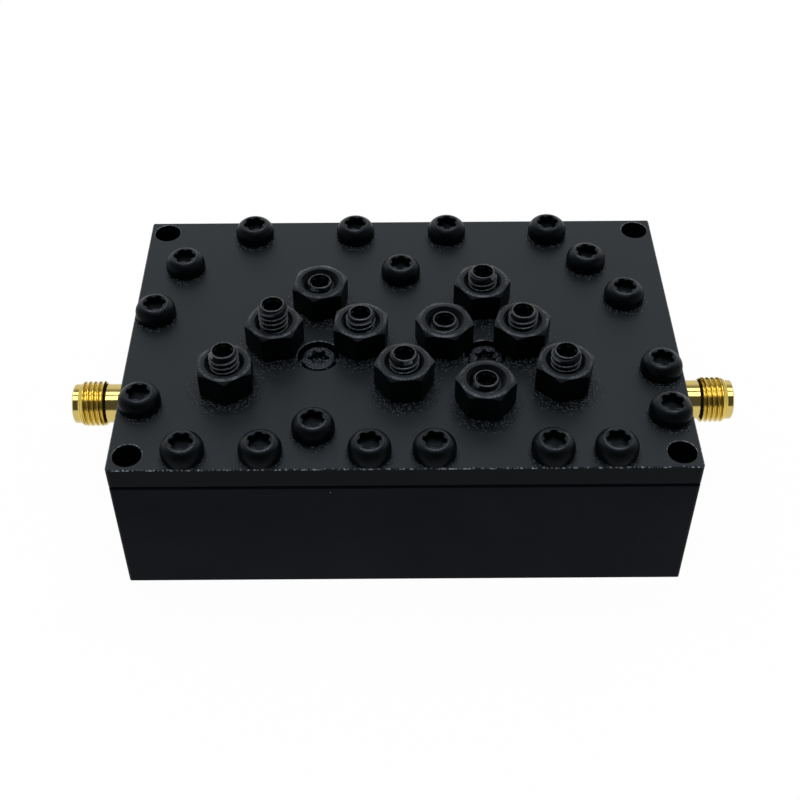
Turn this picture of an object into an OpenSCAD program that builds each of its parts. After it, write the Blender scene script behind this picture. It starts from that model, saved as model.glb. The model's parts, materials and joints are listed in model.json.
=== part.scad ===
// Coaxial cavity band-pass filter. A milled housing holds five round cavities with a hollow resonator
// post in each, a screwed lid carries ten tuning screws with lock nuts, and a threaded coaxial jack
// stands on each short side.
// Millimetres. Origin at the centre of the underside, X to the right jack, Y to the back, Z up.

/* [Body] */
// Width of the housing and lid between the two jack walls
body_w = 75; // [74.5:0.5:80]
// Depth of the housing and lid from front to back
body_d = 50; // [49.5:0.5:56]
// Height of the housing up to the underside of the lid
housing_h = 19.4; // [18.8:0.1:22]
// Thickness of the lid plate
lid_t = 3.4; // [3:0.1:4]
// Thickness of the floor below the cavities
floor_t = 4; // [3.8:0.1:4.4]
// Radius of the upright corners
corner_r = 0.5; // [0.4:0.1:1]
// Bevel along the meeting edges of lid and housing and along the underside
edge_bevel = 0.3; // [0.2:0.05:0.4]
// Bevel along the upper edge of the lid
lid_top_bevel = 0.15; // [0.1:0.05:0.3]
// Distance of the corner mounting holes from both sides
mount_inset = 2.5; // [2.4:0.1:3]
// Diameter of the corner mounting holes, open from top to bottom
mount_d = 3.8; // [3:0.1:4]

/* [Cavities] */
// Diameter of each round cavity
cavity_d = 16; // [14.4:0.2:16.4]
// Width of the coupling windows between neighbouring cavities
iris_w = 5.6; // [5:0.2:6]
// Height of the sill under the coupling windows
iris_sill = 10; // [8:0.5:11]
// Width of the cross-coupling window between the middle and the last cavity
cross_iris_w = 6; // [5.4:0.2:6.6]
// Height of the sill under the cross-coupling window
cross_iris_sill = 11; // [9:0.5:11.5]
// Distance of the front resonator row behind the centre line, negative is to the front
front_row_y = -9.95; // [-10.4:0.05:-9.5]
// Distance of the back resonator row behind the centre line
back_row_y = 6.2; // [5.8:0.1:6.8]
// Resonator 1, next to the left jack, from the centre line
resonator_1_x = -23.4; // [-23.8:0.1:-22.6]
// Resonator 2, in the back row
resonator_2_x = -11.45; // [-12:0.05:-11]
// Resonator 3, in the middle of the front row
resonator_3_x = 0.1; // [-0.4:0.1:0.4]
// Resonator 4, in the back row
resonator_4_x = 11.2; // [10.8:0.1:11.8]
// Resonator 5, next to the right jack
resonator_5_x = 21.2; // [20.8:0.1:22.2]
// Place of the cross-coupling screw behind the centre line, negative is to the front
cross_y = -13.3; // [-13.7:0.1:-12.9]

/* [Resonators] */
// Diameter of a resonator post
resonator_d = 6.6; // [6.4:0.1:7.2]
// Height of a resonator post above the cavity floor
resonator_h = 13; // [12.6:0.1:13.6]
// Diameter of the open bore in the top of a post
resonator_bore_d = 5; // [4.9:0.1:5.1]
// Depth of the open bore in the top of a post
resonator_bore_depth = 8; // [7.6:0.1:8.4]
// Bevel on the upper edge of a post
resonator_bevel = 0.3; // [0.2:0.05:0.4]
// Diameter of the screw that holds a post to the floor
post_screw_d = 2.5; // [2:0.1:2.6]
// Head diameter of the post screw
post_head_d = 4.5; // [4.2:0.1:4.6]
// Head height of the post screw
post_head_h = 2; // [1.8:0.1:2.2]
// Length of the post screw below its head
post_screw_len = 7; // [6.6:0.1:7.2]

/* [Tuning screws] */
// Thread diameter of the tuning screws
tuner_d = 4; // [3.8:0.05:4.05]
// Length of the tuning screws
tuner_len = 14; // [13.6:0.1:14.4]
// Width of the six-lobe socket across its lobes
tuner_socket_d = 2.7; // [2.4:0.1:2.8]
// Width of the six-lobe socket between its flutes
tuner_socket_waist = 2.25; // [1.9:0.05:2.25]
// Depth of the six-lobe socket
tuner_socket_depth = 2; // [1.6:0.1:2.6]
// Bevel on both ends of the tuning screws
tuner_bevel = 0.25; // [0.2:0.05:0.4]
// Radial running clearance of the tuning screws in lid and nuts
tuner_fit = 0.05; // [0.03:0.01:0.08]
// Height of resonator tuning screw 1 above its nut
resonator_tuner_1_out = 2.2; // [0:0.1:3.2]
// Height of resonator tuning screw 2 above its nut
resonator_tuner_2_out = 0.1; // [0:0.1:3.2]
// Height of resonator tuning screw 3 above its nut
resonator_tuner_3_out = 1.5; // [0:0.1:3.2]
// Height of resonator tuning screw 4 above its nut
resonator_tuner_4_out = 1.7; // [0:0.1:3.2]
// Height of resonator tuning screw 5 above its nut
resonator_tuner_5_out = 1.8; // [0:0.1:3.2]
// Height of coupling tuning screw 1 above its nut
coupling_tuner_1_out = 3; // [0:0.1:3.2]
// Height of coupling tuning screw 2 above its nut
coupling_tuner_2_out = 1.4; // [0:0.1:3.2]
// Height of coupling tuning screw 3 above its nut
coupling_tuner_3_out = 0.1; // [0:0.1:3.2]
// Height of coupling tuning screw 4 above its nut
coupling_tuner_4_out = 1.6; // [0:0.1:3.2]
// Height of the cross-coupling tuning screw above its nut
cross_tuner_out = 0.1; // [0:0.1:3.2]

/* [Lock nuts] */
// Width of the lock nuts across flats
nut_af = 7; // [6.6:0.1:7.2]
// Height of the lock nuts
nut_h = 4.2; // [3.6:0.1:4.4]
// Diameter of the flat ring that the bevel leaves on a nut face
nut_face_d = 6.6; // [6.2:0.1:6.6]
// Diameter of the countersink at both ends of the nut bore
nut_sink_d = 5; // [4.7:0.1:5.2]

/* [Lid screws] */
// Thread diameter of the lid screws
lid_screw_d = 3; // [2.6:0.1:3]
// Length of the lid screws below the head
lid_screw_len = 6; // [5.4:0.1:6.2]
// Head diameter of the lid screws
lid_head_d = 5.6; // [5.2:0.1:5.8]
// Head height of the lid screws
lid_head_h = 2.4; // [2.1:0.1:2.6]
// Radius of the rounded head edge
lid_head_round = 1.6; // [1.3:0.1:1.7]
// Width of the six-lobe socket in the head across its lobes
lid_socket_d = 3; // [2.8:0.1:3.2]
// Width of the six-lobe socket in the head between its flutes
lid_socket_waist = 2.45; // [2.1:0.05:2.5]
// Depth of the six-lobe socket in the head
lid_socket_depth = 1.3; // [1:0.1:1.5]
// Depth of the tapped holes in the housing beyond the screw tip
tap_spare = 0.6; // [0.4:0.1:0.8]
// Radial clearance of fixed screws in their tapped holes
thread_fit = 0.05; // [0.03:0.01:0.08]
// Radial clearance of the lid screws in the lid
lid_hole_fit = 0.2; // [0.15:0.05:0.3]

/* [Lid screw pattern] */
// Distance of the front row from the front side
front_screw_inset = 2.85; // [2.85:0.05:3.2]
// Distance of the back row from the back side
back_screw_inset = 3.25; // [3:0.05:4]
// Distance of the outer side screws from the left and right sides
side_screw_inset = 3; // [2.9:0.1:3.4]
// Front row, first screw, from the left side
front_screw_1_inset = 9.5; // [8.7:0.1:11.5]
// Front row, second screw, from the centre line
front_screw_2_x = -18.2; // [-19:0.1:-17.6]
// Front row, third screw, from the centre line
front_screw_3_x = -4.4; // [-5:0.1:-3.6]
// Front row, fourth screw, from the centre line
front_screw_4_x = 3.8; // [3:0.1:5]
// Front row, fifth screw, from the centre line
front_screw_5_x = 18.75; // [17.6:0.05:20]
// Front row, sixth screw, from the right side
front_screw_6_inset = 10.75; // [9.1:0.05:11.5]
// Back row, the two screws near the middle, from the centre line
back_screw_inner_x = 6.8; // [5:0.1:9]
// Back row, the two outer screws, from the left and right sides
back_screw_outer_inset = 15.7; // [12.5:0.1:19.5]
// Left side, front screw, from the front side
left_screw_1_inset = 11.6; // [10.6:0.1:12.6]
// Left side, middle screw, from the back side
left_screw_2_inset = 20.9; // [19:0.1:22]
// Left side, inner back screw, from the left side
left_screw_3_inset = 6.1; // [5.5:0.1:8.5]
// Left side, inner back screw, from the back side
left_screw_3_back = 10.65; // [9:0.05:12]
// Right side, front screw, from the front side
right_screw_1_inset = 9.2; // [8.6:0.1:10]
// Right side, second screw, from the front side
right_screw_2_inset = 17.4; // [16.6:0.1:17.8]
// Right side, inner screw, from the right side
right_screw_3_inset = 6.1; // [5.5:0.1:8.5]
// Right side, inner screw, from the back side
right_screw_3_back = 17.95; // [17:0.05:20]
// Right side, inner back screw, from the right side
right_screw_4_inset = 10.65; // [8.5:0.05:12]
// Right side, inner back screw, from the back side
right_screw_4_back = 10.15; // [9:0.05:11]
// Screw on the wall between the two back cavities, from the back side
back_wall_inset = 12.5; // [11:0.1:13.5]
// Screw on the wall between the first two front cavities, from the front side
front_wall_inset = 6.65; // [6.4:0.05:7.6]

/* [Web screws] */
// Thread diameter of the two sunk screws between the cavities
web_screw_d = 2.5; // [2:0.1:2.6]
// Length of a sunk screw below its head
web_screw_len = 6; // [5:0.1:7]
// Head diameter of a sunk screw
web_head_d = 4.7; // [4.4:0.1:5]
// Head height of a sunk screw
web_head_h = 1.7; // [1.5:0.1:1.8]
// Diameter of the recess in the lid
web_recess_d = 5.8; // [5.6:0.1:6.2]
// Depth of the recess in the lid
web_recess_depth = 2; // [1.9:0.1:2.4]
// Width of the six-lobe socket in a sunk head across its lobes
web_socket_d = 3; // [2.8:0.1:3.2]
// Width of the six-lobe socket in a sunk head between its flutes
web_socket_waist = 2.15; // [2:0.05:2.3]
// Depth of the six-lobe socket in a sunk head
web_socket_depth = 1.1; // [0.8:0.1:1.2]
// Place of both sunk screws behind the centre line, negative is to the front
web_y = -4.5; // [-4.8:0.1:-4.2]

/* [Jacks] */
// Place of both jack axes behind the centre line, negative is to the front
jack_y = -3.6; // [-3.8:0.1:-3.2]
// Height of both jack axes
jack_z = 13; // [12.4:0.1:13.2]
// Reach of a jack out of the side wall
jack_reach = 8.65; // [8.4:0.05:9.4]
// Thread diameter of a jack
jack_thread_d = 6.35; // [6.2:0.05:6.5]
// Length of the thread
jack_thread_len = 3.15; // [3:0.05:3.3]
// Bevel on the inner end of the thread
jack_thread_bevel = 0.2; // [0.1:0.05:0.3]
// Length of the taper from the thread down to the nose
jack_thread_lead = 0.55; // [0.4:0.05:0.7]
// Width of the groove behind the thread
jack_groove_w = 0.35; // [0.3:0.05:0.45]
// Diameter at the bottom of the groove
jack_groove_d = 4.9; // [4.8:0.05:5.1]
// Diameter of the collar behind the groove
jack_collar_d = 6.1; // [5.9:0.05:6.2]
// Length of the collar
jack_collar_len = 0.3; // [0.3:0.05:0.4]
// Bevel on both ends of the collar
jack_collar_bevel = 0.1; // [0.05:0.05:0.15]
// Diameter of the plain nose in front of the thread and of the plain neck behind the collar
jack_neck_d = 5.5; // [5.4:0.05:5.6]
// Length of the plain nose
jack_nose_len = 0.75; // [0.6:0.05:0.9]
// Bevel on the nose
jack_nose_bevel = 0.25; // [0.15:0.05:0.3]
// Diameter of the mating bore in the nose
jack_mouth_d = 4.65; // [4.5:0.05:4.7]
// Depth of the mating bore in the nose
jack_mouth_depth = 1.95; // [1.8:0.05:2.1]
// Depth of the jack seat in the side wall
jack_seat = 5; // [4.6:0.1:5.2]
// Diameter of the insulator
insulator_d = 4.06; // [3.9:0.02:4.1]
// Radial clearance between the fixed pieces of a jack
jack_fit = 0.02; // [0.01:0.01:0.03]
// Diameter of the centre contact
contact_d = 1.27; // [1.2:0.01:1.4]
// Bore of the centre contact that takes the mating pin
contact_bore_d = 0.94; // [0.9:0.01:0.98]
// Depth of that bore
contact_bore_depth = 3.2; // [2.8:0.1:3.6]
// Width of the spring slots in the centre contact
contact_slot = 0.18; // [0.14:0.02:0.22]
// Diameter of the collar behind the insulator
contact_collar_d = 2; // [1.8:0.1:2.2]
// Length of the collar behind the insulator
contact_collar_len = 0.6; // [0.5:0.1:0.8]
// Length of the contact tail behind the collar
contact_tail_len = 1.6; // [1.4:0.1:1.8]
// Diameter of the open feed bore from the jack seat into the cavity
feed_bore_d = 3.4; // [3.2:0.1:3.6]
// Diameter of the tap wire from the contact to the post
wire_d = 0.9; // [0.8:0.05:0.9]
// Bend radius of the tap wire
wire_bend_r = 1.2; // [1:0.1:1.4]
// Depth of the wire ends in the contact tail and in the post
wire_seat = 0.5; // [0.4:0.05:0.5]

/* [Hidden] */
$fn = 96;
cut = 1;
lid_top = housing_h + lid_t;
nut_top = lid_top + nut_h;
post_top = floor_t + resonator_h;
post_seat = post_top - resonator_bore_depth;
resonator_at = [
    [resonator_1_x, front_row_y],
    [resonator_2_x, back_row_y],
    [resonator_3_x, front_row_y],
    [resonator_4_x, back_row_y],
    [resonator_5_x, front_row_y]];
coupling_at = [for (i = [0:3]) (resonator_at[i] + resonator_at[i + 1]) / 2];
cross_at = [(resonator_3_x + resonator_5_x) / 2, cross_y];
tuner_at = concat(resonator_at, coupling_at, [cross_at]);
// Turn of each lock nut on its screw
nut_turn = [33, 18, 4, 5, 15, 10, 24, 50, 14, 54];
front_side = -body_d / 2;
back_side = body_d / 2;
left_side = -body_w / 2;
right_side = body_w / 2;
front_y = front_side + front_screw_inset;
back_y = back_side - back_screw_inset;
lid_screw_at = [
    [left_side + front_screw_1_inset, front_y],
    [front_screw_2_x, front_y],
    [front_screw_3_x, front_y],
    [front_screw_4_x, front_y],
    [front_screw_5_x, front_y],
    [right_side - front_screw_6_inset, front_y],
    [left_side + back_screw_outer_inset, back_y],
    [-back_screw_inner_x, back_y],
    [back_screw_inner_x, back_y],
    [right_side - back_screw_outer_inset, back_y],
    [left_side + side_screw_inset, front_side + left_screw_1_inset],
    [left_side + side_screw_inset, back_side - left_screw_2_inset],
    [left_side + left_screw_3_inset, back_side - left_screw_3_back],
    [right_side - side_screw_inset, front_side + right_screw_1_inset],
    [right_side - side_screw_inset, front_side + right_screw_2_inset],
    [right_side - right_screw_3_inset, back_side - right_screw_3_back],
    [right_side - right_screw_4_inset, back_side - right_screw_4_back],
    [(resonator_2_x + resonator_4_x) / 2, back_side - back_wall_inset],
    [(resonator_1_x + resonator_3_x) / 2, front_side + front_wall_inset]];
web_screw_at = [[resonator_2_x, web_y], [resonator_4_x, web_y]];
mount_at = [for (x = [-1, 1], y = [-1, 1])
    [x * (right_side - mount_inset), y * (back_side - mount_inset)]];
lid_tap_depth = lid_screw_len - lid_t + tap_spare;
web_tap_depth = web_screw_len - (lid_t - web_recess_depth) + tap_spare;
post_tap_depth = post_screw_len - (post_seat - floor_t) + tap_spare;
web_head_z = lid_top - web_recess_depth;
contact_front = jack_reach - jack_mouth_depth;
contact_back = jack_seat + contact_collar_len + contact_tail_len;

// Plan of a plate with rounded upright corners
module plate_plan(w, d, r) {
    square([w - 2 * r, d], center = true);
    square([w, d - 2 * r], center = true);
    for (x = [-1, 1], y = [-1, 1])
        translate([x * (w / 2 - r), y * (d / 2 - r)])
            circle(r);
}

// Upright section of a plate with bevelled lower and upper edges
module bevel_section(w, h, low, high) {
    polygon([
        [low - w / 2, 0], [w / 2 - low, 0], [w / 2, low], [w / 2, h - high],
        [w / 2 - high, h], [high - w / 2, h], [-w / 2, h - high], [-w / 2, low]]);
}

// Plate or block with rounded corners and bevelled edges, standing on Z = 0
module bevel_block(h, low, high) {
    intersection() {
        linear_extrude(h)
            plate_plan(body_w, body_d, corner_r);
        rotate([90, 0, 0])
            linear_extrude(body_d + cut, center = true)
                bevel_section(body_w, h, low, high);
        rotate([90, 0, 90])
            linear_extrude(body_w + cut, center = true)
                bevel_section(body_d, h, low, high);
    }
}

// Outline of a six-lobe drive socket of a width across its lobes and between its flutes
module six_lobe(d, waist) {
    depth = (d - waist) / 2;
    chord = 0.36 * d;
    flute_r = chord * chord / 8 / depth + depth / 2;
    difference() {
        circle(d = d);
        for (i = [0:5])
            rotate(60 * i + 30)
                translate([waist / 2 + flute_r, 0])
                    circle(flute_r);
    }
}

// Straight drilled hole with a pointed end, open at Z = 0 and running down
module drilled(d, depth) {
    translate([0, 0, -depth])
        cylinder(d = d, h = depth + cut);
    translate([0, 0, -depth - 0.3 * d])
        cylinder(d1 = 0, d2 = d, h = 0.3 * d);
}

// Slot through the wall between two cavities, from a sill up
module window(a, b, w, sill) {
    run = b - a;
    margin = cavity_d / 4;
    translate([a[0], a[1], sill])
        rotate(atan2(run[1], run[0]))
            translate([margin, -w / 2, 0])
                cube([norm(run) - 2 * margin, w, housing_h + cut - sill]);
}

// Places its children on the jack axis with Z pointing out of the side wall
module on_jack(side) {
    translate([side * body_w / 2, jack_y, jack_z])
        rotate([0, 90 * side, 0])
            children();
}

module housing() {
    color("#2b2e33")
    difference() {
        bevel_block(housing_h, edge_bevel, edge_bevel);
        for (c = resonator_at) {
            translate([c[0], c[1], floor_t])
                cylinder(d = cavity_d, h = housing_h);
            translate([c[0], c[1], floor_t])
                drilled(post_screw_d + 2 * thread_fit, post_tap_depth);
        }
        for (i = [0:3])
            window(resonator_at[i], resonator_at[i + 1], iris_w, iris_sill);
        window([resonator_3_x, cross_y], [resonator_5_x, cross_y], cross_iris_w, cross_iris_sill);
        for (c = lid_screw_at)
            translate([c[0], c[1], housing_h])
                drilled(lid_screw_d + 2 * thread_fit, lid_tap_depth);
        for (c = web_screw_at)
            translate([c[0], c[1], housing_h])
                drilled(web_screw_d + 2 * thread_fit, web_tap_depth);
        for (c = mount_at)
            translate([c[0], c[1], -cut])
                cylinder(d = mount_d, h = housing_h + 2 * cut);
        for (side = [-1, 1])
            on_jack(side) {
                translate([0, 0, -jack_seat])
                    cylinder(d = jack_neck_d + 2 * jack_fit, h = jack_seat + cut);
                reach = body_w / 2 - (side < 0 ? -resonator_1_x : resonator_5_x) - cavity_d / 8;
                translate([0, 0, -reach])
                    cylinder(d = feed_bore_d, h = reach);
            }
    }
}

module lid() {
    color("#33373c")
    translate([0, 0, housing_h])
    difference() {
        bevel_block(lid_t, edge_bevel, lid_top_bevel);
        for (c = lid_screw_at)
            translate([c[0], c[1], -cut])
                cylinder(d = lid_screw_d + 2 * lid_hole_fit, h = lid_t + 2 * cut);
        for (c = tuner_at)
            translate([c[0], c[1], -cut])
                cylinder(d = tuner_d + 2 * tuner_fit, h = lid_t + 2 * cut);
        for (c = web_screw_at) {
            translate([c[0], c[1], -cut])
                cylinder(d = web_screw_d + 2 * lid_hole_fit, h = lid_t + 2 * cut);
            translate([c[0], c[1], lid_t - web_recess_depth])
                cylinder(d = web_recess_d, h = web_recess_depth + cut);
        }
        for (c = mount_at)
            translate([c[0], c[1], -cut])
                cylinder(d = mount_d, h = lid_t + 2 * cut);
    }
}

// One lid screw with the underside of its head on Z = 0
module lid_screw() {
    straight = lid_head_h - lid_head_round;
    inner = lid_head_d / 2 - lid_head_round;
    difference() {
        union() {
            rotate_extrude()
                intersection() {
                    square([lid_head_d / 2, lid_head_h]);
                    union() {
                        square([inner, lid_head_h]);
                        square([lid_head_d / 2, straight]);
                        translate([inner, straight])
                            circle(lid_head_round);
                    }
                }
            translate([0, 0, -lid_screw_len])
                pin(lid_screw_d, lid_screw_len + lid_head_h / 4, 0.1 * lid_screw_d, 0);
        }
        translate([0, 0, lid_head_h - lid_socket_depth])
            linear_extrude(lid_socket_depth + cut)
                six_lobe(lid_socket_d, lid_socket_waist);
    }
}

// Round pin standing on Z = 0 with a bevel at each end
module pin(d, h, low, high) {
    rotate_extrude()
        polygon([
            [0, 0], [d / 2 - low, 0], [d / 2, low], [d / 2, h - high], [d / 2 - high, h], [0, h]]);
}

module lid_screws() {
    color("#3a3d42")
    for (i = [0:len(lid_screw_at) - 1])
        translate([lid_screw_at[i][0], lid_screw_at[i][1], lid_top])
            rotate(37 * i)
                lid_screw();
}

module web_screws() {
    color("#4a4d52")
    for (i = [0:len(web_screw_at) - 1])
        translate([web_screw_at[i][0], web_screw_at[i][1], web_head_z])
            rotate(20 * i)
                difference() {
                    union() {
                        pin(web_head_d, web_head_h, 0.1, 0.2);
                        translate([0, 0, -web_screw_len])
                            pin(web_screw_d, web_screw_len + web_head_h / 4, 0.1 * web_screw_d, 0);
                    }
                    translate([0, 0, web_head_h - web_socket_depth])
                        linear_extrude(web_socket_depth + cut)
                            six_lobe(web_socket_d, web_socket_waist);
                }
}

// One hexagon lock nut standing on Z = 0
module lock_nut() {
    corner_rad = nut_af / 2 / cos(30) + 0.1;
    bevel = (corner_rad - nut_face_d / 2) * tan(30);
    bore = tuner_d + 2 * tuner_fit;
    sink = (nut_sink_d - bore) / 2;
    difference() {
        intersection() {
            cylinder(d = nut_af / cos(30), h = nut_h, $fn = 6);
            rotate_extrude()
                polygon([
                    [0, 0], [nut_face_d / 2, 0], [corner_rad, bevel], [corner_rad, nut_h - bevel],
                    [nut_face_d / 2, nut_h], [0, nut_h]]);
        }
        translate([0, 0, -cut])
            cylinder(d = bore, h = nut_h + 2 * cut);
        cylinder(d1 = nut_sink_d, d2 = bore, h = sink);
        translate([0, 0, nut_h - sink])
            cylinder(d1 = bore, d2 = nut_sink_d, h = sink);
    }
}

module lock_nuts() {
    color("#2e3136")
    for (i = [0:len(tuner_at) - 1])
        translate([tuner_at[i][0], tuner_at[i][1], lid_top])
            rotate(nut_turn[i])
                lock_nut();
}

// Headless tuning screw with its upper end a given height above the nut
module tuner(at, out) {
    color("#45484d")
    translate([at[0], at[1], nut_top + out - tuner_len])
        difference() {
            pin(tuner_d, tuner_len, tuner_bevel, tuner_bevel);
            translate([0, 0, tuner_len - tuner_socket_depth])
                linear_extrude(tuner_socket_depth + cut)
                    six_lobe(tuner_socket_d, tuner_socket_waist);
        }
}

// Hollow resonator post, with a tap hole for the feed wire where one arrives
module resonator(at, tapped) {
    color("#c9cccf")
    translate([at[0], at[1], floor_t])
        difference() {
            pin(resonator_d, resonator_h, 0.1, resonator_bevel);
            translate([0, 0, resonator_h - resonator_bore_depth])
                cylinder(d = resonator_bore_d, h = resonator_bore_depth + cut);
            translate([0, 0, -cut])
                cylinder(d = post_screw_d + 2 * lid_hole_fit, h = resonator_h);
            if (tapped)
                translate([0, resonator_d / 2 - wire_seat, jack_z - floor_t])
                    rotate([-90, 0, 0])
                        cylinder(d = wire_d + 2 * thread_fit, h = wire_seat + cut);
        }
}

module resonator_screws() {
    color("#8d9094")
    for (c = resonator_at)
        translate([c[0], c[1], post_seat])
            difference() {
                union() {
                    pin(post_head_d, post_head_h, 0.1, 0.2);
                    translate([0, 0, -post_screw_len])
                        pin(post_screw_d, post_screw_len + post_head_h / 4, 0.1 * post_screw_d, 0);
                }
                translate([0, 0, post_head_h / 2])
                    linear_extrude(post_head_h)
                        six_lobe(0.55 * post_head_d, 0.4 * post_head_d);
            }
}

module jack_shell(side) {
    nose_r = jack_neck_d / 2;
    thread_r = jack_thread_d / 2;
    groove_r = jack_groove_d / 2;
    collar_r = jack_collar_d / 2;
    thread_end = jack_reach - jack_nose_len;
    thread_start = thread_end - jack_thread_len;
    collar_end = thread_start - jack_groove_w;
    collar_start = collar_end - jack_collar_len;
    bore_r = insulator_d / 2 + jack_fit;
    color("#d9b24a")
    on_jack(side)
        rotate_extrude()
            polygon([
                [bore_r, -jack_seat],
                [nose_r, -jack_seat],
                [nose_r, collar_start],
                [collar_r - jack_collar_bevel, collar_start],
                [collar_r, collar_start + jack_collar_bevel],
                [collar_r, collar_end - jack_collar_bevel],
                [collar_r - jack_collar_bevel, collar_end],
                [groove_r, collar_end],
                [groove_r, thread_start],
                [thread_r - jack_thread_bevel, thread_start],
                [thread_r, thread_start + jack_thread_bevel],
                [thread_r, thread_end - jack_thread_lead],
                [nose_r, thread_end],
                [nose_r, jack_reach - jack_nose_bevel],
                [nose_r - jack_nose_bevel, jack_reach],
                [jack_mouth_d / 2, jack_reach],
                [jack_mouth_d / 2, contact_front],
                [bore_r, contact_front]]);
}

module jack_insulator(side) {
    color("#f2f0ea")
    on_jack(side)
        translate([0, 0, -jack_seat])
            difference() {
                cylinder(d = insulator_d, h = jack_seat + contact_front);
                translate([0, 0, -cut])
                    cylinder(d = contact_d + 2 * jack_fit, h = jack_seat + contact_front + 2 * cut);
            }
}

module jack_contact(side) {
    color("#d4ab45")
    on_jack(side)
        difference() {
            union() {
                translate([0, 0, -contact_back])
                    cylinder(d = contact_d, h = contact_back + contact_front);
                translate([0, 0, -jack_seat - contact_collar_len])
                    cylinder(d = contact_collar_d, h = contact_collar_len);
            }
            translate([0, 0, contact_front - contact_bore_depth])
                cylinder(d = contact_bore_d, h = contact_bore_depth + cut);
            for (a = [0, 90])
                rotate(a)
                    translate([-contact_d, -contact_slot / 2, contact_front - 0.8 * contact_bore_depth])
                        cube([2 * contact_d, contact_slot, contact_bore_depth]);
            translate([0, 0, -contact_back - cut])
                cylinder(d = wire_d + 2 * jack_fit, h = wire_seat + cut);
        }
}

// Bent wire from the contact tail to the side of the end post
module tap_wire(side, post_x) {
    turn_z = wire_bend_r - (body_w / 2 - abs(post_x));
    start_z = wire_seat - contact_back;
    stop_y = front_row_y + resonator_d / 2 - wire_seat - jack_y;
    color("#c98d5a")
    on_jack(side) {
        translate([0, 0, turn_z])
            cylinder(d = wire_d, h = start_z - turn_z);
        translate([0, -wire_bend_r, turn_z])
            rotate([0, 90, 0])
                rotate_extrude(angle = 90)
                    translate([wire_bend_r, 0])
                        circle(d = wire_d);
        translate([0, -wire_bend_r, turn_z - wire_bend_r])
            rotate([90, 0, 0])
                cylinder(d = wire_d, h = -wire_bend_r - stop_y);
    }
}

housing();
lid();
lid_screws();
web_screws();
lock_nuts();
tuner(resonator_at[0], resonator_tuner_1_out);  // resonator_tuner_1
tuner(resonator_at[1], resonator_tuner_2_out);  // resonator_tuner_2
tuner(resonator_at[2], resonator_tuner_3_out);  // resonator_tuner_3
tuner(resonator_at[3], resonator_tuner_4_out);  // resonator_tuner_4
tuner(resonator_at[4], resonator_tuner_5_out);  // resonator_tuner_5
tuner(coupling_at[0], coupling_tuner_1_out);  // coupling_tuner_1
tuner(coupling_at[1], coupling_tuner_2_out);  // coupling_tuner_2
tuner(coupling_at[2], coupling_tuner_3_out);  // coupling_tuner_3
tuner(coupling_at[3], coupling_tuner_4_out);  // coupling_tuner_4
tuner(cross_at, cross_tuner_out);  // cross_tuner
resonator(resonator_at[0], true);  // resonator_1
resonator(resonator_at[1], false);  // resonator_2
resonator(resonator_at[2], false);  // resonator_3
resonator(resonator_at[3], false);  // resonator_4
resonator(resonator_at[4], true);  // resonator_5
resonator_screws();
jack_shell(-1);  // left_jack_shell
jack_insulator(-1);  // left_jack_insulator
jack_contact(-1);  // left_jack_contact
tap_wire(-1, resonator_1_x);  // left_tap_wire
jack_shell(1);  // right_jack_shell
jack_insulator(1);  // right_jack_insulator
jack_contact(1);  // right_jack_contact
tap_wire(1, resonator_5_x);  // right_tap_wire
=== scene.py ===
import json
import math

import bmesh
import bpy
from mathutils import Matrix, Vector


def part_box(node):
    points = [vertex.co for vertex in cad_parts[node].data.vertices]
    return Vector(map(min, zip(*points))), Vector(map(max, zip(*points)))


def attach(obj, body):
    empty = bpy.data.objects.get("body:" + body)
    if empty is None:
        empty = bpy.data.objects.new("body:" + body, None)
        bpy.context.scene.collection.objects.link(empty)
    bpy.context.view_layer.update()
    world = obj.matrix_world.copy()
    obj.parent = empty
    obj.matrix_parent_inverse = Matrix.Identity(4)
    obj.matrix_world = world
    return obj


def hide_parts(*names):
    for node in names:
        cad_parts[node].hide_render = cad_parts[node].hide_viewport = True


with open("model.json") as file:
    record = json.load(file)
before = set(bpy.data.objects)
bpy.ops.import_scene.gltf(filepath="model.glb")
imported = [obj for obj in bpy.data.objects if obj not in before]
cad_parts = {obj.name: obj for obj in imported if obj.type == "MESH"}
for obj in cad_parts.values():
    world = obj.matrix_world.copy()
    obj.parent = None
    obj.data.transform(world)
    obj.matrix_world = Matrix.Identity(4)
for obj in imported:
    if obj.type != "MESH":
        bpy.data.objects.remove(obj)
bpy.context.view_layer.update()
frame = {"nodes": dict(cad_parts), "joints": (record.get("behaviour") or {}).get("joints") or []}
bpy.context.scene.view_settings.view_transform = "Standard"

MM = 0.001
UP = Vector((0, 0, 1))
# Facets of turned pieces, of socket punches and of the flutes in them
ROUND_STEPS = 72
PUNCH_STEPS = 60
FLUTE_STEPS = 40
# Steps from the top of a rounded head down to its side
DOME_STEPS = 10
# Turns of thread to spare at each end, which are trimmed away
SPARE_TURNS = 2
# Points closer than this become one point
WELD = 0.001 * MM
# Faces that meet at less than this become one face
FLAT_ANGLE = math.radians(0.5)
# Edges sharper than this stay sharp in the shading
SMOOTH_ANGLE = math.radians(28)
# Slack in the tests that pick faces and edges by their place
NEAR = 0.01 * MM


# Places and sizes taken from the frame

def middle(node):
    """The middle of a node's box."""
    low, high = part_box(node)
    return (low + high) / 2


lid_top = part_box("lid")[1].z
tuner_names = [joint["child"] for joint in frame["joints"]]
tuner_low, tuner_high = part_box(tuner_names[0])
tuner_r = (tuner_high.x - tuner_low.x) / 2
tuner_len = tuner_high.z - tuner_low.z
nut_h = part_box("lock_nuts")[1].z - lid_top
shell_low, shell_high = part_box("right_jack_shell")
jack_axis = middle("right_jack_shell")
wall_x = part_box("housing")[1].x


# Sizes of the finished pieces that the frame doesn't give

# Corner holes of the lid, and recesses of the sunk screws
HOLE_INSET = 2.5 * MM
HOLE_R = 1.9 * MM
RECESS_R = 2.9 * MM
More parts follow.
